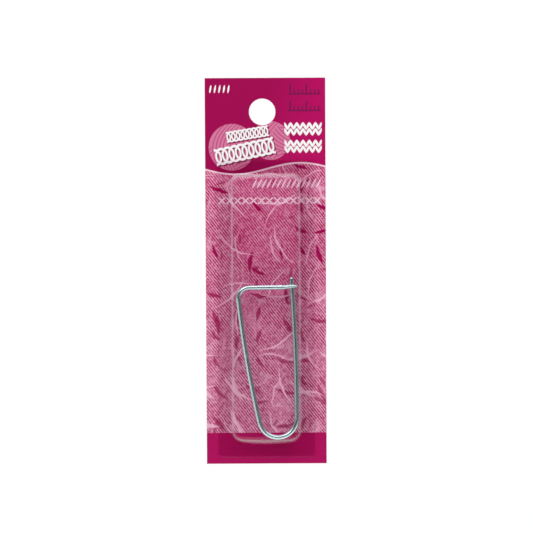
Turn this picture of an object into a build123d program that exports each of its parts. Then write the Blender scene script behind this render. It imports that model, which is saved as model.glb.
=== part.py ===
from build123d import *
import os
from math import acos, asin, atan2, cos, degrees, hypot, pi, radians, sin, sqrt, tan

# A carded stitch holder as it hangs on its peg: a die-cut card, a clear blister sealed to its front,
# and inside the blister one bent wire holder, shaped like a large safety pin.
# Millimetres, +Z up, the card's front faces -Y. The origin is the centre of the hang hole,
# halfway through the card. A depth is a distance in front of that mid plane, along -Y.

# Hang card
card_width = 33.3
card_height = 107.0
card_thickness = 0.5
hang_hole_radius = 3.65
hang_hole_drop = 9.4  # from the card's top edge to the hole's centre
hang_hole_offset = 0.8  # from the card's middle to the hole's centre, towards -X

# Blister: a thermoformed dome on a flat flange
film_thickness = 0.25
dome_width = 19.1
dome_height = 74.6
dome_depth = 5.6  # from the back of the flange to the front of the dome
dome_drop = 26.6  # from the card's top edge to the dome's top edge
side_draft = 1.5  # degrees that the side walls lean in
end_draft = 5.0  # degrees that the upper and lower walls lean in
foot_bow = 0.9  # how far the dome's lower edge bows down between its corners, at the flange
front_bow = 0.15  # the same at the front
top_corner_radius = 2.0
lower_corner_radius = 2.8
shoulder_radius = 1.1  # outer round between the walls and the front
foot_radius = 0.4  # outer round between the walls and the flange
flange_side_margin = 4.0
flange_end_margin = 3.9
flange_corner_radius = 1.5

# Heat seal between the flange and the card
seal_thickness = 0.05
seal_margin = 0.3  # bare film left inside and outside the band

# Wire holder
wire_diameter = 1.4
holder_length = 45.0  # from the bottom of the spring bend to the pin's tip
bend_radius = 5.25  # centre line of the spring bend
corner_radius = 2.9  # centre line of the bend between leg and arm
leg_bow_radius = 300.0  # the leg's gentle curve outwards
leg_straight = 1.0  # straight stretch between that curve and the corner
arm_drop = 2.4  # from the pin's tip down to the catch's centre line
arm_fall = 0.4  # how much lower the arm starts than the catch
pin_bow_radius = 555.0  # the pin's gentle curve inwards
tip_diameter = 1.15
tip_length = 4.0
tip_round = 0.4
catch_diameter = 0.9  # the wire is coined down to this where it curls
coining_length = 2.0
catch_return = 1.0  # how far the catch runs back behind the pin
catch_round = 0.3

# Clearances
catch_clearance = 0.2  # pin to catch and pin to arm
side_clearance = 0.15  # pin to the blister's right wall
corner_clearance = 0.85  # bend at the top of the leg to the blister's left wall
floor_clearance = 0.2  # spring bend to the blister's lower wall
spare_behind_share = 0.23  # share of the blister's spare depth that lies behind the holder

# Places on the card
card_middle = hang_hole_offset
card_top = hang_hole_drop
dome_top = card_top - dome_drop
dome_bottom = dome_top - dome_height
dome_left = card_middle - dome_width / 2
dome_right = card_middle + dome_width / 2
bow_radius = (dome_width**2 / 4 + foot_bow**2) / (2 * foot_bow)
side_slope = tan(radians(side_draft))
end_slope = tan(radians(end_draft))
floor_slope = end_slope + (foot_bow - front_bow) / dome_depth  # of the lower wall, in its middle

# Depths, from the card forwards. The catch lies behind the pin and the arm in front of it.
wire_radius = wire_diameter / 2
catch_radius = catch_diameter / 2
card_front = card_thickness / 2
flange_back = card_front + seal_thickness
hollow_depth = seal_thickness + dome_depth - film_thickness
holder_depth = catch_diameter + 2 * catch_clearance + 2 * wire_diameter
spare_depth = hollow_depth - holder_depth
catch_back = card_front + spare_behind_share * spare_depth
pin_depth = catch_back + catch_diameter + catch_clearance + wire_radius
arm_depth = pin_depth + catch_clearance + wire_diameter
curl_radius = wire_radius + catch_clearance + catch_radius

# The leg and the bend lie in one upright plane through the pin's foot. A run is a distance from that
# foot in this plane, and a rise is a height over it. The pin stands beside the blister's right wall
# and the corner beside the left one.
wall_lean = (pin_depth + wire_radius - flange_back) * side_slope
pin_foot_x = dome_right - film_thickness - wall_lean - side_clearance - wire_radius
corner_side = dome_left + film_thickness + wall_lean + corner_clearance + wire_radius
corner_run = pin_foot_x - corner_side - corner_radius
pin_rise = holder_length - wire_radius - bend_radius
arm_rise = pin_rise - arm_drop - arm_fall
corner_rise = arm_rise - corner_radius

# The leg's curve touches the circle of the bend from outside, and its straight end that of the corner.
bow_to_bend = leg_bow_radius - bend_radius
bow_to_corner = hypot(leg_straight, leg_bow_radius - corner_radius)
centres_apart = hypot(corner_run - bend_radius, corner_rise)
bend_cosine = (bow_to_bend**2 + centres_apart**2 - bow_to_corner**2) / (2 * bow_to_bend * centres_apart)
bow_cosine = (bow_to_bend**2 + bow_to_corner**2 - centres_apart**2) / (2 * bow_to_bend * bow_to_corner)
lean_angle = pi - atan2(corner_rise, corner_run - bend_radius) - acos(bend_cosine)
bow_angle = acos(bow_cosine) - atan2(leg_straight, leg_bow_radius - corner_radius)
top_lean = lean_angle - bow_angle
bow_run = bend_radius - bow_to_bend * cos(lean_angle)
bow_rise = bow_to_bend * sin(lean_angle)
leg_end_rise = bow_rise - leg_bow_radius * sin(top_lean)
leg_top_run = bow_run + leg_bow_radius * cos(top_lean) + (arm_rise - leg_end_rise) * tan(top_lean)

# The plane is turned so that the leg's top stands in front of the pin, where the arm can cross it.
loop_turn = asin((arm_depth - pin_depth) / leg_top_run)

# The bend stands on the blister's lower wall, which slopes up towards the front.
bend_x = pin_foot_x - bend_radius * cos(loop_turn)
bend_depth = pin_depth + bend_radius * sin(loop_turn)
floor_rise = bow_radius - sqrt(bow_radius**2 - (bend_x - card_middle) ** 2)
floor_level = dome_bottom + floor_rise + film_thickness + (bend_depth - flange_back) * floor_slope
bend_level = floor_level + floor_clearance + wire_radius * hypot(1, floor_slope) + bend_radius
tip_level = bend_level + pin_rise
catch_level = tip_level - arm_drop


def pin_x(level):
    """X of the pin's centre line at a height"""
    rise = level - bend_level
    return pin_foot_x - pin_bow_radius + sqrt(pin_bow_radius**2 - rise**2)


def loop_point(run, rise):
    """point of the turned plane, at a run and a rise from the pin's foot"""
    return Vector(pin_foot_x - run * cos(loop_turn), -pin_depth - run * sin(loop_turn), bend_level + rise)


def bend_point(angle):
    """point of the bend's circle, at an angle from the far side down towards the bottom"""
    return loop_point(bend_radius * (1 + cos(angle)), -bend_radius * sin(angle))


def leg_point(lean):
    """point of the leg's curve where the leg leans by an angle"""
    return loop_point(bow_run + leg_bow_radius * cos(lean), bow_rise - leg_bow_radius * sin(lean))


pin_foot = bend_point(pi)
leg_foot = bend_point(lean_angle)
leg_top = loop_point(leg_top_run, arm_rise)
catch_x = pin_x(catch_level)
curl_start = Vector(catch_x, -pin_depth - curl_radius, catch_level)
coining_start = Vector(catch_x - coining_length, -arm_depth, catch_level - wire_radius + catch_radius)


def dome_outline(growth, depth):
    """outline of the dome at a depth in front of the flange's back, grown outwards by a distance"""
    side = growth - depth * side_slope
    end = growth - depth * end_slope
    bow = foot_bow - (foot_bow - front_bow) * depth / dome_depth
    left, right, top = dome_left - side, dome_right + side, dome_top + end
    corner_level = dome_bottom + foot_bow - end
    with BuildLine() as border:
        Polyline((left, corner_level), (left, top), (right, top), (right, corner_level))
        ThreePointArc((right, corner_level), (card_middle, corner_level - bow), (left, corner_level))
    corners = make_face(border.edges()).vertices().group_by(Axis.Y)
    fillet(corners[0], lower_corner_radius + growth)
    fillet(corners[-1], top_corner_radius + growth)


def flange_outline(growth):
    """outline of the flange, grown outwards by a distance"""
    width = dome_width + 2 * (flange_side_margin + growth)
    height = dome_height + 2 * (flange_end_margin + growth)
    with Locations((card_middle, (dome_top + dome_bottom) / 2)):
        RectangleRounded(width, height, flange_corner_radius + growth)


# Hang card
with BuildPart() as hang_card:
    with BuildSketch(Plane.XZ.offset(-card_thickness / 2)):
        with Locations((card_middle, card_top - card_height / 2)):
            Rectangle(card_width, card_height)
        Circle(hang_hole_radius, mode=Mode.SUBTRACT)
    extrude(amount=card_thickness)

# Heat seal band, under the flat part of the flange
with BuildPart() as heat_seal_band:
    with BuildSketch(Plane.XZ.offset(card_front)):
        flange_outline(-seal_margin)
    extrude(amount=seal_thickness)
    with BuildSketch(Plane.XZ.offset(card_front)):
        dome_outline(foot_radius + seal_margin, 0)
    extrude(amount=seal_thickness, mode=Mode.SUBTRACT)

# Hollow of the blister, cut out of its outside below
hollow_reach = dome_depth - film_thickness
with BuildPart() as dome_hollow:
    with BuildSketch(Plane.XZ.offset(flange_back)):
        dome_outline(-film_thickness, 0)
    with BuildSketch(Plane.XZ.offset(flange_back + hollow_reach)):
        dome_outline(-film_thickness, hollow_reach)
    loft()
    fillet(dome_hollow.faces().sort_by(Axis.Y)[0].edges(), shoulder_radius - film_thickness)

# Blister shell
with BuildPart() as blister_shell:
    with BuildSketch(Plane.XZ.offset(flange_back)):
        dome_outline(0, 0)
    with BuildSketch(Plane.XZ.offset(flange_back + dome_depth)):
        dome_outline(0, dome_depth)
    loft()
    fillet(blister_shell.faces().sort_by(Axis.Y)[0].edges(), shoulder_radius)
    with BuildSketch(Plane.XZ.offset(flange_back)):
        flange_outline(0)
    extrude(amount=film_thickness)
    flange_front = blister_shell.faces().filter_by(Axis.Y).sort_by(Axis.Y)[-2]
    fillet(flange_front.inner_wires().edges(), foot_radius)
    add(dome_hollow.part, mode=Mode.SUBTRACT)
    flange_rear = blister_shell.faces().sort_by(Axis.Y)[-1]
    fillet(flange_rear.inner_wires().edges(), foot_radius + film_thickness)

# Holder frame: leg, corner and arm in one sweep, then the coined end that curls round the pin
with BuildPart() as holder_frame:
    with BuildLine() as frame_line:
        leg_bow = ThreePointArc(leg_foot, leg_point((lean_angle + top_lean) / 2), leg_point(top_lean))
        FilletPolyline(leg_bow @ 1, leg_top, coining_start, radius=corner_radius)
    with BuildSketch(Plane(origin=frame_line.line @ 0, z_dir=frame_line.line % 0)):
        Circle(wire_radius)
    sweep()
    with BuildSketch(Plane(origin=coining_start, z_dir=frame_line.line % 1)):
        Circle(wire_radius)
    with BuildSketch(Plane(origin=curl_start, z_dir=(1, 0, 0))):
        Circle(catch_radius)
    loft()
    with BuildLine(Plane.XY.offset(catch_level)) as catch_line:
        CenterArc((catch_x, -pin_depth), curl_radius, -90, 180)
        Line((catch_x, curl_radius - pin_depth), (catch_x - catch_return, curl_radius - pin_depth))
    with BuildSketch(Plane(origin=curl_start, z_dir=(1, 0, 0))):
        Circle(catch_radius)
    sweep()
    catch_end = holder_frame.faces().filter_by(Axis.X).sort_by(Axis.Y)[-1]
    fillet(catch_end.edges(), catch_round)

# Spring bend between the leg and the pin
with BuildPart() as spring_bend:
    with BuildLine() as bend_line:
        ThreePointArc(leg_foot, bend_point((lean_angle + pi) / 2), pin_foot)
    with BuildSketch(Plane(origin=bend_line.line @ 0, z_dir=bend_line.line % 0)):
        Circle(wire_radius)
    sweep()

# Holder pin, with its blunt tip
with BuildPart() as holder_pin:
    with BuildLine(Plane.XZ.offset(pin_depth)) as pin_line:
        pin_turn = degrees(asin((tip_level - tip_length - bend_level) / pin_bow_radius))
        JernArc((pin_foot_x, bend_level), (0, 1), pin_bow_radius, pin_turn)
    with BuildSketch(Plane(origin=pin_line.line @ 0, z_dir=pin_line.line % 0)):
        Circle(wire_radius)
    sweep()
    tip_plane = Plane(origin=pin_line.line @ 1, z_dir=pin_line.line % 1)
    with BuildSketch(tip_plane):
        Circle(wire_radius)
    with BuildSketch(tip_plane.offset(tip_length)):
        Circle(tip_diameter / 2)
    loft()
    fillet(holder_pin.edges().sort_by(Axis.Z)[-1], tip_round)

hang_card.part.label = "hang_card"
heat_seal_band.part.label = "heat_seal_band"
blister_shell.part.label = "blister_shell"
holder_frame.part.label = "holder_frame"
spring_bend.part.label = "spring_bend"
holder_pin.part.label = "holder_pin"

os.makedirs("parts", exist_ok=True)
export_step(hang_card.part, "parts/hang_card.step")
export_step(heat_seal_band.part, "parts/heat_seal_band.step")
export_step(blister_shell.part, "parts/blister_shell.step")
export_step(holder_frame.part, "parts/holder_frame.step")
export_step(spring_bend.part, "parts/spring_bend.step")
export_step(holder_pin.part, "parts/holder_pin.step")
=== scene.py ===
from math import asin, atan, cos, hypot, pi, radians, sin, tan

import bmesh
import bpy
from mathutils import Matrix, Vector


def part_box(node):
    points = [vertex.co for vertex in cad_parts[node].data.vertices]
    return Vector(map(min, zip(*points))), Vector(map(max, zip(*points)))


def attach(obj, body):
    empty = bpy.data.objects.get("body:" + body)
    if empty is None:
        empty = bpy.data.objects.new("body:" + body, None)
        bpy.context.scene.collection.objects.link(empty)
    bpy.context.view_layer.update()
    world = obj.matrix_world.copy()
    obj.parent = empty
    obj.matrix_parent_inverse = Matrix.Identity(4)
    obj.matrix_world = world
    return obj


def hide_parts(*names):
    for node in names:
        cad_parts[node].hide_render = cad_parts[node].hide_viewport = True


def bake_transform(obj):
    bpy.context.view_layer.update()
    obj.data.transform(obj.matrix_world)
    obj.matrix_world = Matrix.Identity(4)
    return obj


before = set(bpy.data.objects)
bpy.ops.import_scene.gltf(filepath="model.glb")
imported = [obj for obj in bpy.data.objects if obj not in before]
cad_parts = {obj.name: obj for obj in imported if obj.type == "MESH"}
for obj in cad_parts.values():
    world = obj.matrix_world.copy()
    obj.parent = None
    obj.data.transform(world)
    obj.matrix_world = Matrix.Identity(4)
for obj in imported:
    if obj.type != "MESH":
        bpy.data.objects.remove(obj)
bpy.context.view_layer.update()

# A carded stitch holder: a printed hang card, a clear blister and a bent wire holder inside it.
# Metres, in the frame's own axes: the card's printed front faces -Y and its hang hole is at the origin.
mm = 0.001
cardLow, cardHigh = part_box("hang_card")
filmLow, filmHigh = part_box("blister_shell")
frameLow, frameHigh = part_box("holder_frame")
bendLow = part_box("spring_bend")[0]
pinLow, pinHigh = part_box("holder_pin")
cardMiddle = (cardLow + cardHigh) / 2

# Camera and studio

camera = {
    "distance": 0.6,
    "pixel": 0.277 * mm,  # size of one pixel of the 533 pixel frame, on the card
    "pixels": 533,
    "aimAbove": 1.36 * mm,  # how far the middle of the picture lies above the card's middle
    "aimRight": 0.18 * mm,
    "elevation": radians(2.5),
    "roll": radians(-0.3),
    "sensor": 36.0,
    "clip": (0.01, 20),
}


def makeCamera():
    view = bpy.data.cameras.new("photoCamera")
    view.sensor_width = camera["sensor"]
    view.lens = camera["sensor"] * camera["distance"] / (camera["pixel"] * camera["pixels"])
    view.clip_start, view.clip_end = camera["clip"]
    shooter = bpy.data.objects.new("photoCamera", view)
    bpy.context.scene.collection.objects.link(shooter)
    aim = Vector((cardMiddle.x + camera["aimRight"], cardLow.y, cardMiddle.z + camera["aimAbove"]))
    back = Vector((0, -cos(camera["elevation"]), sin(camera["elevation"])))
    turn = (-back).to_track_quat("-Z", "Y").to_matrix() @ Matrix.Rotation(camera["roll"], 3, "Z")
    shooter.matrix_world = Matrix.Translation(aim + back * camera["distance"]) @ turn.to_4x4()
    bpy.context.scene.camera = shooter


studio = {
    "skyTop": 1.8,
    "skyFloor": 1.3,
    "skyLevel": 0.20,  # round the horizon
    "skyFront": 0.02,  # and straight in front, where the camera stands
    # where the parts of the sky fade into each other, as coordinates of a direction of length 1
    "topFade": (0.25, 0.8),
    "lowFade": (0.05, 0.4),
    "lowTilt": 0.15,  # the sky's bright floor leans to the left
    "frontFade": (-0.99, -0.90),
    "backFade": (-0.1, 0.4),
    "floorBelow": 32 * mm,
    "floorFade": 0.07,  # where the floor starts to fade
    "floorRadius": 0.16,  # and where it has gone
    "floorSides": 96,
    "floorShade": 0.86,
    "floorGlow": 0.5,  # share of plain white in the floor as it is seen
    "lamps": {
        "keyLamp": {"at": (-0.26, -0.38, 0.42), "size": 0.34, "power": 0.76},
        "fillLamp": {"at": (0.30, -0.40, 0.40), "size": 0.34, "power": 0.54},
        "topLamp": {"at": (0.0, -0.16, 0.52), "size": 0.30, "power": 0.55},
        "lowLamp": {"at": (-0.12, -0.38, -0.44), "size": 0.30, "power": 1.32},
    },
}


def newTree(owner):
    owner.use_nodes = True
    owner.node_tree.nodes.clear()
    return owner.node_tree


def addNode(tree, kind, **settings):
    node = tree.nodes.new(kind)
    for name, value in settings.items():
        setattr(node, name, value)
    return node


def feed(tree, socket, value):
    # a socket takes another socket, or a plain value
    if isinstance(value, Reckoned):
        value = value.socket
    if isinstance(value, bpy.types.NodeSocket):
        tree.links.new(value, socket)
    elif hasattr(value, "__len__") and len(socket.default_value) == 4 and len(value) == 3:
        socket.default_value = (*value, 1)
    else:
        socket.default_value = value


class Reckoned:
    # a number worked out by a material's nodes, so that a pattern can be written as a formula
    def __init__(self, tree, socket):
        self.tree, self.socket = tree, socket

    def work(self, operation, *others):
        node = addNode(self.tree, "ShaderNodeMath", operation=operation)
        for socket, value in zip(node.inputs, (self, *others)):
            feed(self.tree, socket, value)
        return Reckoned(self.tree, node.outputs[0])

    def __add__(self, other):
        return self.work("ADD", other)

    def __sub__(self, other):
        return self.work("SUBTRACT", other)

    def __mul__(self, other):
        return self.work("MULTIPLY", other)

    def __truediv__(self, other):
        return self.work("DIVIDE", other)

    def __neg__(self):
        return self.work("MULTIPLY", -1)

    def __abs__(self):
        return self.work("ABSOLUTE")

    def __mod__(self, step):
        return self.work("FLOORED_MODULO", step)

    __radd__ = __add__
    __rmul__ = __mul__

    def most(self, other):
        return self.work("MAXIMUM", other)

    def wave(self):
        return self.work("SINE")

    def raised(self, power):
        return self.work("POWER", power)

    def between(self, low, high):
        # 0 at low, 1 at high, eased in and out
        node = addNode(self.tree, "ShaderNodeMapRange", interpolation_type="SMOOTHSTEP")
        for socket, value in zip(node.inputs, (self, low, high)):
            feed(self.tree, socket, value)
        return Reckoned(self.tree, node.outputs[0])

    def cover(self, low, high, most):
        # 0 at low, the full cover at high
        return self.between(low, high) * most

    def under(self, edge, soft=0.05):
        # 1 where the number is under the edge
        return 1 - self.between(edge - soft, edge + soft)

    def __rsub__(self, other):
        return (-self) + other


def axesOf(tree, vector):
    # a vector's three coordinates
    node = addNode(tree, "ShaderNodeSeparateXYZ")
    tree.links.new(vector, node.inputs[0])
    return [Reckoned(tree, socket) for socket in node.outputs]


def mixed(tree, share, first, second):
    # a share of the second shader in the first
    node = addNode(tree, "ShaderNodeMixShader")
    feed(tree, node.inputs[0], share)
    tree.links.new(first, node.inputs[1])
    tree.links.new(second, node.inputs[2])
    return node.outputs[0]


def seenRays(tree, glossyShare=1.0):
    # 1 for what the camera sees, straight, in a mirror or through a clear piece
    path = addNode(tree, "ShaderNodeLightPath")
    glossy = Reckoned(tree, path.outputs["Is Glossy Ray"]) * glossyShare
    return glossy.most(path.outputs["Is Camera Ray"]).most(path.outputs["Is Transmission Ray"])


def makeWorld():
    world = bpy.data.worlds.new("studio")
    bpy.context.scene.world = world
    tree = newTree(world)
    side, deep, up = axesOf(tree, addNode(tree, "ShaderNodeTexCoord").outputs["Generated"])
    above = up.between(*studio["topFade"]) * (studio["skyTop"] - studio["skyLevel"])
    tilted = -up - side * studio["lowTilt"]
    below = tilted.between(*studio["lowFade"]) * (studio["skyFloor"] - studio["skyLevel"])
    front = studio["skyFront"] + deep.between(*studio["frontFade"]) * (1 - studio["skyFront"])
    sky = addNode(tree, "ShaderNodeBackground")
    feed(tree, sky.inputs["Strength"], (above + below + studio["skyLevel"]) * front)
    plain = addNode(tree, "ShaderNodeBackground")
    feed(tree, plain.inputs["Color"], (1, 1, 1))
    feed(tree, plain.inputs["Strength"], 1.0)
    # a mirror shows the plain white only behind the card, and the sky elsewhere
    white = seenRays(tree, deep.between(*studio["backFade"]))
    seen = mixed(tree, white, sky.outputs[0], plain.outputs[0])
    tree.links.new(seen, addNode(tree, "ShaderNodeOutputWorld").inputs["Surface"])


def makeLamps():
    for name, facts in studio["lamps"].items():
        lamp = bpy.data.lights.new(name, "AREA")
        lamp.shape, lamp.size, lamp.energy = "DISK", facts["size"], facts["power"]
        holder = bpy.data.objects.new(name, lamp)
        bpy.context.scene.collection.objects.link(holder)
        holder.location = cardMiddle + Vector(facts["at"])
        holder.rotation_mode = "QUATERNION"
        holder.rotation_quaternion = (-Vector(facts["at"])).to_track_quat("-Z", "Y")
        holder.visible_camera = False


def makeFloor():
    # a disc twice as wide as the ring where it has faded out
    bm = bmesh.new()
    radius = studio["floorRadius"] * 2
    bmesh.ops.create_circle(bm, cap_ends=True, segments=studio["floorSides"], radius=radius)
    middle = (cardMiddle.x, 0, cardLow.z - studio["floorBelow"])
    bmesh.ops.translate(bm, verts=bm.verts, vec=middle)
    floor = finishMesh(bm, "floor")
    material = bpy.data.materials.new("paleFloor")
    tree = newTree(material)
    spot = addNode(tree, "ShaderNodeVectorMath", operation="DISTANCE")
    tree.links.new(addNode(tree, "ShaderNodeTexCoord").outputs["Object"], spot.inputs[0])
    spot.inputs[1].default_value = middle
    away = Reckoned(tree, spot.outputs["Value"])
    paper = addNode(tree, "ShaderNodeBsdfDiffuse")
    feed(tree, paper.inputs["Color"], (studio["floorShade"],) * 3)
    glow = addNode(tree, "ShaderNodeEmission")
    clear = addNode(tree, "ShaderNodeBsdfTransparent")
    lifted = mixed(tree, seenRays(tree) * studio["floorGlow"], paper.outputs[0], glow.outputs[0])
    faded = mixed(tree, away.between(studio["floorFade"], studio["floorRadius"]), lifted, clear.outputs[0])
    tree.links.new(faded, addNode(tree, "ShaderNodeOutputMaterial").inputs["Surface"])
    floor.data.materials.append(material)


def finishMesh(bm, name, smoothUnder=radians(35), flat=None):
    # faces are smooth up to an angle between them, and stay flat where they look along "flat"
    mesh = bpy.data.meshes.new(name)
    bm.to_mesh(mesh)
    bm.free()
    mesh.shade_smooth()
    mesh.set_sharp_from_angle(angle=smoothUnder)
    for face in mesh.polygons:
        face.use_smooth = flat is None or abs(face.normal.dot(flat)) < 0.999
    piece = bpy.data.objects.new(name, mesh)
    bpy.context.scene.collection.objects.link(piece)
    return piece


def vertsOf(made):
    return [g for g in made if isinstance(g, bmesh.types.BMVert)]


def facesOf(made):
    return [g for g in made if isinstance(g, bmesh.types.BMFace)]


def soften(bm, edges, offset, steps):
    bmesh.ops.bevel(bm, geom=edges, offset=offset, segments=steps, profile=0.5, affect="EDGES", material=-1)


makeCamera()
makeWorld()
makeLamps()
makeFloor()
print("camera, light and floor made")

# Shared parts of the materials


def startMaterial(name):
    material = bpy.data.materials.new(name)
    tree = newTree(material)
    shader = addNode(tree, "ShaderNodeBsdfPrincipled")
    tree.links.new(shader.outputs[0], addNode(tree, "ShaderNodeOutputMaterial").inputs["Surface"])
    return material, tree, shader


def inMillimetres(tree, vector):
    node = addNode(tree, "ShaderNodeMapping")
    node.inputs["Scale"].default_value = (1 / mm,) * 3
    tree.links.new(vector, node.inputs["Vector"])
    return node.outputs[0]


def objectPlace(tree):
    return inMillimetres(tree, addNode(tree, "ShaderNodeTexCoord").outputs["Object"])


def vectorWork(tree, operation, *values):
    node = addNode(tree, "ShaderNodeVectorMath", operation=operation)
    for socket, value in zip(node.inputs, values):
        feed(tree, socket, value)
    return node.outputs[0]


def flatPlace(tree, x, z):
    # a place in the card's plane
    node = addNode(tree, "ShaderNodeCombineXYZ")
    feed(tree, node.inputs["X"], x)
    feed(tree, node.inputs["Y"], z)
    return node.outputs[0]


def spread(tree, vector, stretch, turn=0.0):
    # the same place, turned in the card's plane, then stretched
    node = addNode(tree, "ShaderNodeMapping")
    node.inputs["Rotation"].default_value = (0, turn, 0)
    node.inputs["Scale"].default_value = stretch
    tree.links.new(vector, node.inputs["Vector"])
    return node.outputs[0]


def noise(tree, vector, size, detail=2.0, roughness=0.5, distortion=0.0):
    # size is that of one blot, in millimetres
    node = addNode(tree, "ShaderNodeTexNoise")
    node.inputs["Scale"].default_value = 1 / size
    node.inputs["Detail"].default_value = detail
    node.inputs["Roughness"].default_value = roughness
    node.inputs["Distortion"].default_value = distortion
    tree.links.new(vector, node.inputs["Vector"])
    return Reckoned(tree, node.outputs[0])


def stirred(tree, vector, size, amount):
    # the same place, pushed about by a noise
    node = addNode(tree, "ShaderNodeTexNoise")
    node.inputs["Scale"].default_value = 1 / size
    tree.links.new(vector, node.inputs["Vector"])
    centred = vectorWork(tree, "SUBTRACT", node.outputs["Color"], (0.5,) * 3)
    return vectorWork(tree, "MULTIPLY_ADD", centred, (amount,) * 3, vector)


def layOver(tree, under, ink, cover):
    # one colour over another, where cover is 1
    node = addNode(tree, "ShaderNodeMix", data_type="RGBA")
    feed(tree, node.inputs[0], cover)
    feed(tree, node.inputs[6], under)
    feed(tree, node.inputs[7], ink)
    return node.outputs[2]


def roughen(tree, shader, height, distance, strength=1.0):
    node = addNode(tree, "ShaderNodeBump")
    node.inputs["Strength"].default_value = strength
    node.inputs["Distance"].default_value = distance
    feed(tree, node.inputs["Height"], height)
    tree.links.new(node.outputs[0], shader.inputs["Normal"])


# Hang card

card = {
    "corner": 0.05 * mm,  # crushed edge left by the die
    "cornerSteps": 2,
    "holeRadius": 3.65 * mm,
    "holeSides": 96,
    "headInk": (0.335, 0.0035, 0.078),
    # painted light: a lighter header colour that stands in for more light on the header's right side
    "headPaintedLight": (0.45, 0.005, 0.110),
    "fieldInk": (0.72, 0.155, 0.345),
    "fieldDeep": (0.48, 0.034, 0.155),
    "fieldPale": (0.88, 0.36, 0.54),
    "twillInk": (0.34, 0.009, 0.09),
    "leafInk": (0.36, 0.003, 0.085),
    "strandInk": (0.90, 0.50, 0.66),
    "lineInk": (0.88, 0.62, 0.73),
    "whiteInk": (0.90, 0.88, 0.89),
    "ballInk": (0.637, 0.187, 0.335),
    "ballLine": (0.47, 0.05, 0.17),
    "shadeInk": (0.22, 0.004, 0.06),
    "stampInk": (0.13, 0.010, 0.065),
    "paleInk": (0.88, 0.66, 0.76),
    "gloss": 0.25,  # roughness of the print
    "coatGloss": 0.18,  # and of the clear heat seal coat over it
    "shine": 0.25,  # specular level
    "board": (0.80, 0.79, 0.76),
    "boardFibre": (0.66, 0.64, 0.60),
    "boardGloss": 0.85,
    "boardShine": 0.2,
    # noises: size of a blot in millimetres, detail, roughness
    "tooth": (0.9, 2),
    "fibre": (0.5, 4, 0.65),
    "fibreStretch": (1, 3, 0.35),
    "fibreTurn": radians(20),
    "speck": (0.8, 2),
    "speckBump": 0.4,  # share of the specks in the board's relief
    # where a noise starts to show, where it shows fully, and its cover there
    "fibreShown": (0.5, 0.72, 0.4),
    "speckShown": (0.66, 0.74, 0.5),
    # relief: depth, strength
    "toothBump": (0.01 * mm, 0.3),
    "boardBump": (0.03 * mm, 0.5),
    # layout of the print, in millimetres from the hang hole's centre
    "headLightFade": (-2, 16),  # painted light: the header is painted brighter to the right
    "headLightTilt": 0.3,  # and a little downwards
    "waveLevel": -15.65,
    "waveHeight": 1.55,
    "waveLength": 35.8,
    "waveCrest": 10.4,
    "waveLine": 0.22,
    "waveSoft": 0.05,
    "footLevel": -88.97,
}

# the field's twill and what lies on it, in millimetres
cloth = {
    "lowerFade": (38, 70),  # below the hang hole, from the deeper to the paler part of the field
    "upperDeep": 0.32,
    "lowerPale": 0.36,
    "middle": 1.0,  # of the card, round which the upper part gets painted shade
    "middlePaintedShade": (12, 7, 0.25),  # painted shade under the dome, beside the middle: where it starts, where it is full, its cover
    "twillPitch": 0.63,
    "twillTurn": radians(37.5),
    "twillWobble": 2,
    "ribDark": 0.9,
    "ribPale": 0.95,
    "ribEdge": 0.3,
    # noises: size of a blot, detail, roughness, distortion
    "cloud": (7, 3, 0.6, 0.4),
    "weave": (8, 2),
    "grain": (0.6, 2, 0.7),
    # where a noise starts to show, where it shows fully, and its cover there
    "cloudDeep": (0.56, 0.36, 0.8),
    "cloudPale": (0.50, 0.64, 0.5),
    "weaveShown": (0.36, 0.56, 0.55),
    "weaveLeast": 0.45,
    "grainPale": (0.50, 0.68, 0.5),
    "grainDark": (0.48, 0.30, 0.6),
    "stir": (3.0, 1.5),  # size and amount of the wobble in the strokes
    # strokes: cell, half length, half width, bend, lean, swing, how many, cover above and below
    "shades": (
        (7.0, 3.1, 1.3, 0.02, 50, 70, 0.6, 0.45, 0.30),
        (9.0, 3.8, 1.2, 0.04, -40, 60, 0.5, 0.40, 0.30),
    ),
    "petals": (
        (7.5, 2.6, 0.80, 0.05, 35, 120, 0.60, 0.50, 0.85),
        (5.2, 1.8, 0.50, 0.08, -25, 150, 0.5, 0.40, 0.75),
    ),
    "leaves": (
        (6.0, 2.2, 0.50, 0.06, 50, 130, 0.42, 1.0, 0.70),
        (9.5, 3.2, 0.55, 0.05, 45, 110, 0.42, 1.0, 0.70),
        (4.8, 1.3, 0.38, 0.10, -30, 140, 0.25, 0.70, 0.40),
    ),
    "strands": (
        (13.0, 6.0, 0.30, 0.045, 20, 160, 0.7, 0.75, 1.0),
        (10.0, 4.6, 0.24, -0.06, -60, 150, 0.7, 0.65, 1.0),
        (9.0, 4.2, 0.60, 0.04, 30, 100, 0.6, 0.0, 0.80),
    ),
    "strokeSoft": 0.35,  # soft edge, as a share of the half width
    "seedShift": (0.37, 0.61, 1),  # moves each kind of stroke to cells of its own
    "seedStep": 3.0,
}

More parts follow.
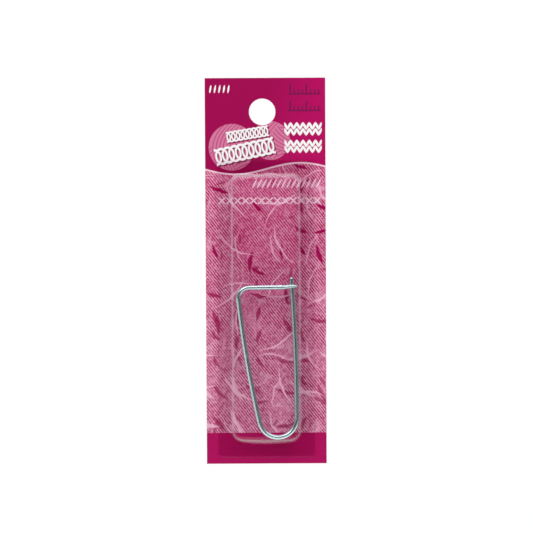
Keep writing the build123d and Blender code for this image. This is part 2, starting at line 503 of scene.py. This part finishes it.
# the header's and the field's drawings, in millimetres from the hang hole's centre
motifs = {
    # middle, radius
    "balls": (((-8.4, -9.7), 6.4), ((2.3, -7.9), 5.3)),
    # a ball's bundles of strands: lean, then offset, half width and bend as shares of the radius
    "bundles": ((25, -0.25, 0.95, 0.30), (-48, 0.30, 0.50, -0.36), (80, 0.45, 0.42, 0.42)),
    "strandPitch": 0.95,
    "strandLine": 0.13,
    # chains of yarn loops over the balls: start, lean, how many, pitch, half width and height, half line
    "chains": (((-13.0, -12.6), 12, 9, 1.85, 1.55, 2.05, 0.26), ((-9.9, -7.0), 9, 9, 1.3, 1.1, 1.3, 0.20)),
    "shadow": (0.35, -0.35),
    # two knitted strips of two rows: start, how many, pitch, half height, half width
    "knits": (
        ((6.1, -3.95), 6, 1.72, 1.15, 0.34),
        ((6.1, -5.55), 6, 1.72, 1.15, 0.34),
        ((6.1, -8.75), 6, 1.72, 1.15, 0.34),
        ((6.1, -10.35), 6, 1.72, 1.15, 0.34),
    ),
    "knitLean": 26,
    "knitApart": 0.42,
    # leaning dashes and cross stitches: start, how many, pitch, half height, half width
    "marks": ((-14.9, 6.35), 5, 1.25, 1.1, 0.24),
    "markLean": 10,
    "dashes": ((-2.9, -19.8), 14, 1.36, 1.5, 0.24),
    "dashLean": 28,
    "crosses": ((-12.4, -24.5), 13, 2.2, 0.9, 0.2),
    # rulers: start, how many, pitch, short and long tick
    "rulers": (((7.2, 4.9), 8, 1.12, 1.3, 2.8), ((7.2, 0.3), 8, 1.12, 1.3, 2.6)),
    "longEvery": 4,
    "tickLine": 0.19,  # half widths of the rulers' lines
    "longLine": 0.21,
    "rulerLine": 0.2,
    # covers of the stamped and of the pale drawings
    "stampCover": 0.85,
    "paleCover": 0.8,
    # soft edges
    "ballSoft": 0.08,
    "strandSoft": 0.1,
    "ringSoft": 0.06,
    "leafSoft": 0.12,
}


def turned(x, z, start, lean):
    # the same place, counted from the start, along and across a line that leans so many degrees
    u, v = x - start[0], z - start[1]
    return u * cos(radians(lean)) + v * sin(radians(lean)), v * cos(radians(lean)) - u * sin(radians(lean))


def onRow(u, length):
    # 1 along a row of that length
    return abs(u - length / 2).under(length / 2)


def yarnBall(tree, ink, x, z, middle, radius):
    u, v = x - middle[0], z - middle[1]
    ball = (u * u + v * v).raised(0.5).under(radius, motifs["ballSoft"])
    ink = layOver(tree, ink, card["ballInk"], ball)
    for lean, offset, half, bend in motifs["bundles"]:
        along, across = turned(x, z, middle, lean)
        across = across + along * along * (bend / radius) - offset * radius
        bundle = ball * abs(across).under(half * radius)
        ink = layOver(tree, ink, card["ballInk"], bundle)
        pitch = motifs["strandPitch"]
        line = abs(across % pitch - pitch / 2).under(motifs["strandLine"], motifs["strandSoft"])
        ink = layOver(tree, ink, card["ballLine"], bundle * line)
    return ink


def yarnChain(x, z, start, lean, many, pitch, wide, high, half):
    # rings that overlap by about half
    u, v = turned(x, z, start, lean)
    shown = None
    for shift in (0, pitch):
        beside = (u + shift) % (2 * pitch) - pitch
        away = ((beside / wide) * (beside / wide) + (v / high) * (v / high)).raised(0.5)
        ring = abs(away - 1).under(half / wide, motifs["ringSoft"])
        shown = ring if shown is None else shown.most(ring)
    return shown * onRow(u, many * pitch)


def leafRow(x, z, lean, start, many, pitch, high, wide, apart=None):
    # a row of leaf shapes that lean, or of pairs that lean apart
    u, v = x - start[0], z - start[1]
    beside = u % pitch - pitch / 2
    beside = abs(beside) - apart if apart else beside
    along = (v * cos(radians(lean)) + beside * sin(radians(lean))) / high
    across = (beside * cos(radians(lean)) - v * sin(radians(lean))) / wide
    return (along * along + across * across).under(1, motifs["leafSoft"]) * onRow(u, many * pitch)


def crossRow(x, z, start, many, pitch, high, wide):
    u, v = x - start[0], abs(z - start[1])
    beside = abs(u % pitch - pitch / 2)
    return abs(beside - v).under(wide * 2 ** 0.5) * v.under(high) * onRow(u, many * pitch)


def ruler(x, z, start, many, pitch, short, tall):
    u, v = x - start[0], z - start[1]
    half = pitch / 2
    ticks = abs(u % pitch - half).under(motifs["tickLine"]) * abs(v - short / 2).under(short / 2)
    beside = abs(u % (motifs["longEvery"] * pitch) - half)
    longTicks = beside.under(motifs["longLine"]) * abs(v - tall / 2).under(tall / 2)
    return ticks.most(longTicks).most(abs(v).under(motifs["rulerLine"])) * onRow(u, many * pitch)


def headPrint(tree, ink, x, z):
    for middle, radius in motifs["balls"]:
        ink = yarnBall(tree, ink, x, z, middle, radius)
    right, up = motifs["shadow"]
    for shape in motifs["chains"]:
        ink = layOver(tree, ink, card["shadeInk"], yarnChain(x - right, z - up, *shape))
        ink = layOver(tree, ink, card["whiteInk"], yarnChain(x, z, *shape))
    for shape in motifs["knits"]:
        stitches = leafRow(x, z, motifs["knitLean"], *shape, motifs["knitApart"])
        ink = layOver(tree, ink, card["whiteInk"], stitches)
    ink = layOver(tree, ink, card["whiteInk"], leafRow(x, z, motifs["markLean"], *motifs["marks"]))
    for shape in motifs["rulers"]:
        ink = layOver(tree, ink, card["stampInk"], ruler(x, z, *shape) * motifs["stampCover"])
    return ink


def strokes(tree, spot, cell, reach, width, bend, lean, swing, many, seed):
    # one bent, tapered stroke in each square cell, with its own turn and place; 1 on a stroke
    shift = tuple(seed * part for part in cloth["seedShift"])
    inCells = vectorWork(tree, "MULTIPLY_ADD", spot, (1 / cell,) * 3, shift)
    dice = addNode(tree, "ShaderNodeTexWhiteNoise", noise_dimensions="3D")
    feed(tree, dice.inputs["Vector"], vectorWork(tree, "FLOOR", inCells))
    inside = vectorWork(tree, "SUBTRACT", vectorWork(tree, "FRACTION", inCells), (0.5, 0.5, 0))
    spare = max(0.5 - reach / cell, 0)  # room to push the stroke off its cell's middle
    push = vectorWork(tree, "SUBTRACT", dice.outputs["Color"], (0.5, 0.5, 0))
    inside = vectorWork(tree, "MULTIPLY_ADD", push, (2 * spare, 2 * spare, 0), inside)
    chance = axesOf(tree, dice.outputs["Color"])[2] - 0.5
    turn = addNode(tree, "ShaderNodeVectorRotate", rotation_type="Z_AXIS")
    feed(tree, turn.inputs["Vector"], inside)
    feed(tree, turn.inputs["Angle"], chance * radians(swing) + radians(lean))
    u, v = (part * cell for part in axesOf(tree, turn.outputs[0])[:2])
    body = 1 - u * u * (1 / reach ** 2)
    edge = abs(v - u * u * bend) - body * width
    soft = width * cloth["strokeSoft"]
    return (1 - edge.between(-soft, soft)) * Reckoned(tree, dice.outputs["Value"]).under(many, 0.01)


def twillPrint(tree, ink, place, x, z, cloud):
    # slanting ribs, dark and pale by turns, and the grain of their yarn
    turn, pitch = cloth["twillTurn"], cloth["twillPitch"] / (2 * pi)
    along = x * (cos(turn) / pitch) + z * (sin(turn) / pitch)
    rib = (along + cloud * cloth["twillWobble"]).wave() * 0.5 + 0.5
    woven = noise(tree, place, *cloth["weave"]).cover(*cloth["weaveShown"]) + cloth["weaveLeast"]
    grain = noise(tree, place, *cloth["grain"])
    ink = layOver(tree, ink, card["twillInk"], rib * woven * cloth["ribDark"])
    pale = rib.under(cloth["ribEdge"], cloth["ribEdge"]) * woven * cloth["ribPale"]
    ink = layOver(tree, ink, card["fieldPale"], pale)
    ink = layOver(tree, ink, card["strandInk"], grain.cover(*cloth["grainPale"]))
    return layOver(tree, ink, card["leafInk"], grain.cover(*cloth["grainDark"]))


def fieldPrint(tree, place, x, z):
    # a soft print of twill cloth with leaves, petals and strands of yarn lying on it, and painted shade in
    # its upper middle, under the dome
    lower = (-z).between(*cloth["lowerFade"])
    upper = 1 - lower
    spot = flatPlace(tree, *axesOf(tree, stirred(tree, place, *cloth["stir"]))[::2])
    cloud = noise(tree, place, *cloth["cloud"])
    ink = layOver(tree, card["fieldInk"], card["fieldDeep"], cloud.cover(*cloth["cloudDeep"]))
    ink = layOver(tree, ink, card["fieldPale"], cloud.cover(*cloth["cloudPale"]))
    ink = layOver(tree, ink, card["fieldDeep"], upper * cloth["upperDeep"])
    ink = layOver(tree, ink, card["strandInk"], lower * cloth["lowerPale"])
    seed = 1.0
    for kind, tone in (
        ("shades", "fieldDeep"),
        ("petals", "strandInk"),
        ("leaves", "leafInk"),
        ("strands", "strandInk"),
    ):
        if kind == "leaves":
            ink = twillPrint(tree, ink, place, x, z, cloud)
            # painted shade: the upper field is darkened round the card's middle, under the dome
            deep = abs(x - cloth["middle"]).cover(*cloth["middlePaintedShade"])
            ink = layOver(tree, ink, card["fieldDeep"], upper * deep)
        for *shape, above, below in cloth[kind]:
            shown = strokes(tree, spot, *shape, seed)
            ink = layOver(tree, ink, card[tone], shown * (above + lower * (below - above)))
            seed += cloth["seedStep"]
    dashes = leafRow(x, z, motifs["dashLean"], *motifs["dashes"])
    ink = layOver(tree, ink, card["paleInk"], dashes * motifs["paleCover"])
    return layOver(tree, ink, card["paleInk"], crossRow(x, z, *motifs["crosses"]) * motifs["paleCover"])


def printMaterial():
    material, tree, shader = startMaterial("printedCard")
    place = objectPlace(tree)
    x, z = axesOf(tree, place)[::2]
    ink = fieldPrint(tree, place, x, z)
    # painted light: the header's colour, which the footer repeats, is painted brighter to the right and a
    # little downwards
    paintedLight = (x - z * card["headLightTilt"]).between(*card["headLightFade"])
    head = layOver(tree, card["headInk"], card["headPaintedLight"], paintedLight)
    wave = ((x - card["waveCrest"]) * (2 * pi / card["waveLength"]) + pi / 2).wave() * card["waveHeight"]
    rise = z - wave - card["waveLevel"]
    inHead = rise.between(-card["waveSoft"], card["waveSoft"])
    ink = layOver(tree, ink, headPrint(tree, head, x, z), inHead)
    ink = layOver(tree, ink, card["lineInk"], abs(rise).under(card["waveLine"]))
    ink = layOver(tree, ink, head, z.under(card["footLevel"]))
    feed(tree, shader.inputs["Base Color"], ink)
    feed(tree, shader.inputs["Roughness"], card["gloss"])
    feed(tree, shader.inputs["Specular IOR Level"], card["shine"])
    roughen(tree, shader, noise(tree, place, *card["tooth"]), *card["toothBump"])
    return material


def boardMaterial():
    # bare board: the back of the card and its cut edge
    material, tree, shader = startMaterial("bareBoard")
    place = objectPlace(tree)
    fibre = noise(tree, spread(tree, place, card["fibreStretch"], card["fibreTurn"]), *card["fibre"])
    speck = noise(tree, place, *card["speck"])
    tone = layOver(tree, card["board"], card["boardFibre"], fibre.cover(*card["fibreShown"]))
    tone = layOver(tree, tone, card["boardFibre"], speck.cover(*card["speckShown"]))
    feed(tree, shader.inputs["Base Color"], tone)
    feed(tree, shader.inputs["Roughness"], card["boardGloss"])
    feed(tree, shader.inputs["Specular IOR Level"], card["boardShine"])
    roughen(tree, shader, fibre + speck * card["speckBump"], *card["boardBump"])
    return material


def makeCard():
    # the front's outline with the hang hole cut out of it, given the board's thickness
    bm = bmesh.new()
    middle = Vector((cardMiddle.x, cardHigh.y, cardMiddle.z))
    upright = Matrix.Rotation(pi / 2, 4, "X")
    size = cardHigh - cardLow
    bmesh.ops.create_grid(bm, x_segments=1, y_segments=1, size=0.5)
    bmesh.ops.scale(bm, verts=bm.verts, vec=(size.x, size.z, 1))
    bmesh.ops.transform(bm, matrix=Matrix.Translation(middle) @ upright, verts=bm.verts)
    sides, radius = card["holeSides"], card["holeRadius"]
    hole = Matrix.Translation((0, cardHigh.y, 0)) @ upright
    rim = bmesh.ops.create_circle(bm, segments=sides, radius=radius, matrix=hole)["verts"]
    bmesh.ops.delete(bm, geom=list(bm.faces), context="FACES_ONLY")
    bmesh.ops.triangle_fill(bm, use_beauty=True, edges=bm.edges[:])
    inside = [f for f in bm.faces if all(v in rim for v in f.verts)]
    bmesh.ops.delete(bm, geom=inside, context="FACES_ONLY")
    grown = bmesh.ops.extrude_face_region(bm, geom=bm.faces[:])["geom"]
    bmesh.ops.translate(bm, vec=(0, cardLow.y - cardHigh.y, 0), verts=vertsOf(grown))
    bmesh.ops.recalc_face_normals(bm, faces=bm.faces)
    # the edges round the front and the back, without those that run through the board
    edges = [e for e in bm.edges if len(e.link_faces) == 2 and e.calc_face_angle() > radians(60)]
    edges = [e for e in edges if abs(e.verts[0].co.y - e.verts[1].co.y) < size.y / 2]
    soften(bm, edges, card["corner"], card["cornerSteps"])
    for face in bm.faces:
        face.material_index = 0 if face.normal.y < -0.5 else 1
    piece = finishMesh(bm, "hangCard", flat=Vector((0, 1, 0)))
    printed = printMaterial()
    piece.data.materials.append(printed)
    piece.data.materials.append(boardMaterial())
    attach(piece, "card")
    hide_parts("hang_card")
    return printed


printed = makeCard()
print("hang card made")

# Blister

film = {
    "thickness": 0.25 * mm,
    "sideMargin": 4.0 * mm,  # flange beside the dome
    "endMargin": 3.9 * mm,
    "flangeCorner": 1.5 * mm,
    "topCorner": 2.0 * mm,
    "lowCorner": 2.8 * mm,
    "footBow": 0.9 * mm,
    "frontBow": 0.15 * mm,
    "shoulder": 1.1 * mm,
    "foot": 0.4 * mm,
    "skirt": 0.9 * mm,  # strip of the flange beside the dome's foot
    "sideDraft": radians(1.5),
    "endDraft": radians(5),
    "lift": 0.01 * mm,  # film to heat seal coat
    "rim": 0.07 * mm,  # rounding of the film's cut edge
    "rimAngle": radians(60),
    "cornerSteps": 12,
    "footPoints": 7,  # points between the lower corners, for the bow
    "shoulderSteps": 8,
    "footSteps": 5,
    "rimSteps": 2,
    "tint": (1.0, 0.988, 0.997),
    "edgeTint": (0.90, 0.85, 0.88),  # where the eye looks along the film
    "edgeFade": (0.25, 1.0),  # from a slant to along the film
    "mirror": 0.02,
    "mirrorPower": 5,  # how steeply the mirror grows with the slant
    "gloss": 0.06,
    "haze": 0.18,  # where the film was drawn thin, at the shoulder and in the walls
    "hazeTint": (0.94, 0.86, 0.90),
    "hazeFade": (0.15, 0.85),
    "ripple": (3.5, 2),  # size in millimetres and detail of the noise
    "rippleStretch": (1, 1, 0.4),
    "rippleBump": (0.05 * mm, 0.5),
}


def roundedLoop(bm, low, high, lowCorner, topCorner, level, bow=0.0):
    # a closed ring of edges round a rectangle with round corners, its lower side bowed down
    middle = (low.x + high.x) / 2
    half = (high.x - low.x) / 2
    foot = low.z + bow
    steps, between = film["cornerSteps"], film["footPoints"]
    points = []
    for side, height, radius, start in (
        (1, foot + lowCorner, lowCorner, -90),
        (1, high.z - topCorner, topCorner, 0),
        (-1, high.z - topCorner, topCorner, 90),
        (-1, foot + lowCorner, lowCorner, 180),
    ):
        centre = Vector((middle + side * (half - radius), level, height))
        for step in range(steps + 1):
            angle = radians(start + 90 * step / steps)
            points.append(centre + Vector((cos(angle), 0, sin(angle))) * radius)
    for step in range(1, between + 1):
        share = 2 * step / (between + 1) - 1
        points.append(Vector((middle + share * (half - lowCorner), level, foot)))
    for point in points:
        if point.z < foot + lowCorner:
            across = (point.x - middle) / half
            point.z -= bow * (1 - across * across)
    verts = [bm.verts.new(point) for point in points]
    return [bm.edges.new((a, b)) for a, b in zip(verts, verts[1:] + verts[:1])]


def filmMaterial():
    # clear film: each face mirrors a little, more at a slant, and lets the rest through
    material = bpy.data.materials.new("clearFilm")
    tree = newTree(material)
    slant = addNode(tree, "ShaderNodeLayerWeight")
    slant.inputs["Blend"].default_value = 0.5
    away = Reckoned(tree, slant.outputs["Facing"])
    clear = addNode(tree, "ShaderNodeBsdfTransparent")
    tint = layOver(tree, film["tint"], film["edgeTint"], away.between(*film["edgeFade"]))
    feed(tree, clear.inputs["Color"], tint)
    mirror = addNode(tree, "ShaderNodeBsdfGlossy")
    feed(tree, mirror.inputs["Roughness"], film["gloss"])
    ripple = noise(tree, spread(tree, objectPlace(tree), film["rippleStretch"]), *film["ripple"])
    roughen(tree, mirror, ripple, *film["rippleBump"])
    mirrored = away.raised(film["mirrorPower"]) * (1 - film["mirror"]) + film["mirror"]
    both = mixed(tree, mirrored, clear.outputs[0], mirror.outputs[0])
    milk = addNode(tree, "ShaderNodeBsdfDiffuse")
    feed(tree, milk.inputs["Color"], film["hazeTint"])
    hazy = mixed(tree, away.between(*film["hazeFade"]) * film["haze"], both, milk.outputs[0])
    tree.links.new(hazy, addNode(tree, "ShaderNodeOutputMaterial").inputs["Surface"])
    return material


def coatBand(printed):
    # the clear coat on the solids' own seal band shows the print below it, only glossier
    material = printed.copy()
    material.name = "sealCoat"
    shader = next(n for n in material.node_tree.nodes if n.type == "BSDF_PRINCIPLED")
    shader.inputs["Roughness"].default_value = card["coatGloss"]
    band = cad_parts["heat_seal_band"]
    band.data.materials.clear()
    band.data.materials.append(material)


def drawDome(bm, low, high, flangeFront):
    # the dome, drawn forwards from the flange with draft, a bowed foot and a round shoulder
    loop = roundedLoop(bm, low, high, film["lowCorner"], film["topCorner"], flangeFront, film["footBow"])
    front = bmesh.ops.contextual_create(bm, geom=loop)["faces"][0]
    grown = bmesh.ops.extrude_face_region(bm, geom=[front])["geom"]
    bmesh.ops.delete(bm, geom=[front], context="FACES_ONLY")
    verts = vertsOf(grown)
    depth = flangeFront - filmLow.y
    centre = (low + high) / 2
    sideIn, endIn = depth * tan(film["sideDraft"]), depth * tan(film["endDraft"])
    for vert in verts:
        across = (vert.co.x - centre.x) / (high.x - centre.x)
        if vert.co.z < low.z + film["footBow"] + film["lowCorner"]:
            vert.co.z += (film["footBow"] - film["frontBow"]) * (1 - across * across)
        vert.co.x -= sideIn * across
        vert.co.z += endIn if vert.co.z < centre.z else -endIn
    bmesh.ops.translate(bm, vec=(0, -depth, 0), verts=verts)
    soften(bm, facesOf(grown)[0].edges[:], film["shoulder"], film["shoulderSteps"])


def addFlange(bm, low, high, flangeFront):
    # a narrow skirt lets the dome's foot be rounded, and a flat sheet fills up to the flange's edge
    foot = [e for e in bm.edges if e.is_boundary]
    skirt = vertsOf(bmesh.ops.extrude_edge_only(bm, edges=foot)["geom"])
    size = high - low
    grow = Vector((1 + 2 * film["skirt"] / size.x, 1, 1 + 2 * film["skirt"] / size.z))
    bmesh.ops.scale(bm, vec=grow, verts=skirt, space=Matrix.Translation(-(low + high) / 2))
    soften(bm, foot, film["foot"], film["footSteps"])
    skirtEdge = [e for e in bm.edges if e.is_boundary]
    inner = {v for e in skirtEdge for v in e.verts}
    corner = film["flangeCorner"]
    rim = roundedLoop(bm, filmLow, filmHigh, corner, corner, flangeFront)
    flat = bmesh.ops.triangle_fill(bm, use_beauty=True, edges=skirtEdge + rim)["geom"]
    inside = [f for f in facesOf(flat) if set(f.verts) <= inner]
    bmesh.ops.delete(bm, geom=inside, context="FACES")


def makeBlister():
    bm = bmesh.new()
    inset = Vector((film["sideMargin"], 0, film["endMargin"]))
    low, high = filmLow + inset, filmHigh - inset
    flangeFront = filmHigh.y - film["lift"] - film["thickness"]
    drawDome(bm, low, high, flangeFront)
    addFlange(bm, low, high, flangeFront)
    bmesh.ops.recalc_face_normals(bm, faces=bm.faces)
    if sum(f.normal.y * f.calc_area() for f in bm.faces) > 0:
        bmesh.ops.reverse_faces(bm, faces=bm.faces)
    piece = finishMesh(bm, "blister", flat=Vector((0, 1, 0)))
    wall = piece.modifiers.new("filmWall", "SOLIDIFY")
    wall.thickness, wall.offset, wall.use_even_offset = film["thickness"], -1, True
    rim = piece.modifiers.new("filmRim", "BEVEL")
    rim.limit_method, rim.angle_limit = "ANGLE", film["rimAngle"]
    rim.width, rim.segments = film["rim"], film["rimSteps"]
    piece.data.materials.append(filmMaterial())
    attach(piece, "blister")
    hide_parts("blister_shell")


makeBlister()
coatBand(printed)
print("blister made")

# Wire holder

wire = {
    "radius": 0.7 * mm,
    "sides": 32,
    "lean": radians(12.721),  # of the leg's foot, away from the pin
    "legBow": 300 * mm,
    "legStraight": 1.0 * mm,
    "cornerRadius": 2.9 * mm,
    "armFall": 0.4 * mm,
    "coining": 2.0 * mm,
    "catchRadius": 0.45 * mm,
    "catchGap": 0.2 * mm,
    "catchReturn": 1.0 * mm,
    "catchRound": 0.3 * mm,
    "pinBow": 555 * mm,
    "tipLength": 4.0 * mm,
    "tipRadius": 0.575 * mm,
    "tipRound": 0.4 * mm,
    "blendInset": 1.1,  # wire radii from the bend's ends to where it starts to give
    # steps in each stretch
    "legSteps": 24,
    "straightSteps": 2,
    "cornerSteps": 28,
    "armSteps": 12,
    "coiningSteps": 10,
    "curlSteps": 30,
    "returnSteps": 2,
    "bendSteps": 56,
    "pinSteps": 36,
    "tipSteps": 4,
    "endSteps": 5,
    "sharpOver": radians(50),
    "metal": (0.55, 0.75, 0.74),
    "metalWorn": (0.73, 0.86, 0.85),
    # noises: size of a blot in millimetres, detail, roughness
    "lines": (0.12, 3, 0.6),
    "lineStretch": (1, 1, 0.02),
    "rubs": (2.2, 3),
    # where a noise starts to show, where it shows fully, and its cover there
    "linesShown": (0.35, 0.75, 0.35),
    "rubsShown": (0.5, 0.8, 0.4),
    "gloss": 0.17,  # roughness, and what the lines and rubs add to it
    "linesGloss": 0.10,
    "rubsGloss": 0.05,
    "linesBump": (0.01 * mm, 0.5),
}
bendLevel = pinLow.z
bendRadius = bendLevel - bendLow.z - wire["radius"]
pinDepth = (pinLow.y + pinHigh.y) / 2
armDepth = frameLow.y + wire["radius"]
catchLevel = frameHigh.z - wire["catchRadius"]
armLevel = catchLevel - wire["armFall"]
legFootRun = bendRadius * (1 + cos(wire["lean"]))
legFootLevel = bendLevel - bendRadius * sin(wire["lean"])
bowRun = bendRadius - (wire["legBow"] - bendRadius) * cos(wire["lean"])
bowLevel = bendLevel + (wire["legBow"] - bendRadius) * sin(wire["lean"])
innerBow = wire["legBow"] - wire["cornerRadius"]
cornerFall = bowLevel - armLevel + wire["cornerRadius"]
topLean = asin(cornerFall / hypot(wire["legStraight"], innerBow)) + atan(wire["legStraight"] / innerBow)
legEndLevel = bowLevel - wire["legBow"] * sin(topLean)
legTopRun = bowRun + wire["legBow"] * cos(topLean) + (armLevel - legEndLevel) * tan(topLean)
loopTurn = asin((pinDepth - armDepth) / legTopRun)
pinFootX = pinHigh.x - wire["radius"]
curlRadius = wire["radius"] + wire["catchGap"] + wire["catchRadius"]


def loopPoint(run, level):
    # a point of the upright plane through the pin's foot that holds the leg and the bend
    return Vector((pinFootX - run * cos(loopTurn), pinDepth - run * sin(loopTurn), level))


def pinX(level):
    # the pin's gentle curve towards its tip
    rise = level - bendLevel
    return pinFootX - wire["pinBow"] + (wire["pinBow"] ** 2 - rise ** 2) ** 0.5


pinFoot = loopPoint(0, bendLevel)
legFoot = loopPoint(legFootRun, legFootLevel)
legTop = loopPoint(legTopRun, armLevel)
loopAxis = Vector((-sin(loopTurn), cos(loopTurn), 0))
legAhead = loopPoint(legFootRun + sin(wire["lean"]), legFootLevel + cos(wire["lean"]))
legHeading = (legAhead - legFoot).normalized()


class Wire:
    # a tube grown ring by ring; "drawn" keeps where each point lay when the wire was still straight
    def __init__(self, start, heading):
        self.bm = bmesh.new()
        self.drawn = self.bm.verts.layers.float_vector.new("drawn")
        self.at, self.heading, self.along = start.copy(), heading.normalized(), 0.0
        facing = self.heading.to_track_quat("Z", "Y").to_matrix().to_4x4()
        place = Matrix.Translation(start) @ facing
        bmesh.ops.create_circle(self.bm, segments=wire["sides"], radius=wire["radius"], matrix=place)
        self.ring = self.bm.edges[:]
        for vert in self.bm.verts:
            flat = facing.inverted() @ (vert.co - start)
            vert[self.drawn] = (flat.x, flat.y, 0.0)
        self.closeEnd()

    def closeEnd(self):
        bmesh.ops.contextual_create(self.bm, geom=self.ring)

    def grow(self, length):
        made = bmesh.ops.extrude_edge_only(self.bm, edges=self.ring)["geom"]
        fresh = vertsOf(made)
        kept = set(fresh)
        self.ring = [g for g in made if isinstance(g, bmesh.types.BMEdge) and set(g.verts) <= kept]
        self.along += length
        for vert in fresh:
            vert[self.drawn] = (*vert[self.drawn][:2], self.along)
        return fresh

    def run(self, length, steps=1, scale=1.0, drift=Vector()):
        # a straight stretch, or one that drifts aside or changes its thickness
        for step in range(steps):
            fresh = self.grow(length / steps)
            move = self.heading * (length / steps) + drift / steps
            bmesh.ops.translate(self.bm, vec=move, verts=fresh)
            self.at += move
            middle = Matrix.Translation(-self.at)
            bmesh.ops.scale(self.bm, vec=(scale ** (1 / steps),) * 3, verts=fresh, space=middle)

    def turn(self, centre, axis, angle, steps):
        spin = Matrix.Rotation(angle / steps, 3, axis)
        for step in range(steps):
            fresh = self.grow((self.at - centre).length * angle / steps)
            bmesh.ops.rotate(self.bm, cent=centre, matrix=spin, verts=fresh)
            self.at = centre + spin @ (self.at - centre)
            self.heading = spin @ self.heading

    def roundOff(self, radius, round):
        # a rounded end on a tube of that radius
        last, lastHeight = radius, 0.0
        for step in range(1, wire["endSteps"] + 1):
            angle = pi / 2 * step / wire["endSteps"]
            now, height = radius - round * (1 - cos(angle)), round * sin(angle)
            self.run(height - lastHeight, 1, now / last)
            last, lastHeight = now, height

    def finish(self, name):
        self.closeEnd()
        bmesh.ops.recalc_face_normals(self.bm, faces=self.bm.faces)
        return finishMesh(self.bm, name, wire["sharpOver"])


def wireMaterial():
    # drawn aluminium, satin anodised, with fine lines along the wire and rubbed spots
    material, tree, shader = startMaterial("anodisedWire")
    way = addNode(tree, "ShaderNodeAttribute", attribute_name="drawn")
    drawn = inMillimetres(tree, way.outputs["Vector"])
    lines = noise(tree, spread(tree, drawn, wire["lineStretch"]), *wire["lines"])
    rubs = noise(tree, drawn, *wire["rubs"])
    worn = lines.cover(*wire["linesShown"]) + rubs.cover(*wire["rubsShown"])
    feed(tree, shader.inputs["Base Color"], layOver(tree, wire["metal"], wire["metalWorn"], worn))
    feed(tree, shader.inputs["Metallic"], 1.0)
    gloss = wire["gloss"] + lines * wire["linesGloss"] + rubs * wire["rubsGloss"]
    feed(tree, shader.inputs["Roughness"], gloss)
    roughen(tree, shader, lines, *wire["linesBump"])
    return material


def makeHolderFrame(metal):
    # up the leg, round the corner, along the arm, and half round the pin
    catchX = pinX(catchLevel)
    coiningLevel = catchLevel - wire["radius"] + wire["catchRadius"]
    coiningStart = Vector((catchX - wire["coining"], armDepth, coiningLevel))
    tube = Wire(legFoot, legHeading)
    tube.turn(loopPoint(bowRun, bowLevel), loopAxis, wire["lean"] - topLean, wire["legSteps"])
    up = (legTop - tube.at).normalized()
    arm = (coiningStart - legTop).normalized()
    bend = up.angle(arm)
    cut = wire["cornerRadius"] * tan(bend / 2)
    tube.run((legTop - tube.at).length - cut, wire["straightSteps"])
    axis = up.cross(arm).normalized()
    centre = tube.at + axis.cross(up) * wire["cornerRadius"]
    tube.turn(centre, axis, bend, wire["cornerSteps"])
    tube.run((coiningStart - legTop).length - cut, wire["armSteps"])
    curlStart = Vector((catchX, pinDepth - curlRadius, catchLevel))
    drift = curlStart - tube.at - tube.heading * wire["coining"]
    tube.run(wire["coining"], wire["coiningSteps"], wire["catchRadius"] / wire["radius"], drift)
    tube.turn(Vector((catchX, pinDepth, catchLevel)), Vector((0, 0, 1)), pi, wire["curlSteps"])
    tube.run(wire["catchReturn"] - wire["catchRound"], wire["returnSteps"])
    tube.roundOff(wire["catchRadius"], wire["catchRound"])
    piece = tube.finish("holderFrame")
    piece.data.materials.append(metal)
    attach(piece, "holder")
    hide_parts("holder_frame")


def makeSpringBend(metal):
    tube = Wire(legFoot, -legHeading)
    tube.turn(loopPoint(bendRadius, bendLevel), loopAxis, wire["lean"] - pi, wire["bendSteps"])
    piece = tube.finish("springBend")
    piece.data.materials.append(metal)
    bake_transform(piece)
    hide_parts("spring_bend")


def makeHolderPin(metal):
    turn = asin((pinHigh.z - wire["tipLength"] - bendLevel) / wire["pinBow"])
    tube = Wire(pinFoot, Vector((0, 0, 1)))
    tube.turn(pinFoot - Vector((wire["pinBow"], 0, 0)), Vector((0, -1, 0)), turn, wire["pinSteps"])
    tube.run(wire["tipLength"] - wire["tipRound"], wire["tipSteps"], wire["tipRadius"] / wire["radius"])
    tube.roundOff(wire["tipRadius"], wire["tipRound"])
    piece = tube.finish("holderPin")
    piece.data.materials.append(metal)
    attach(piece, "pin")
    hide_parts("holder_pin")


metal = wireMaterial()
makeHolderFrame(metal)
makeSpringBend(metal)
makeHolderPin(metal)
print("wire holder made")

bpy.context.scene.view_settings.view_transform = "Standard"
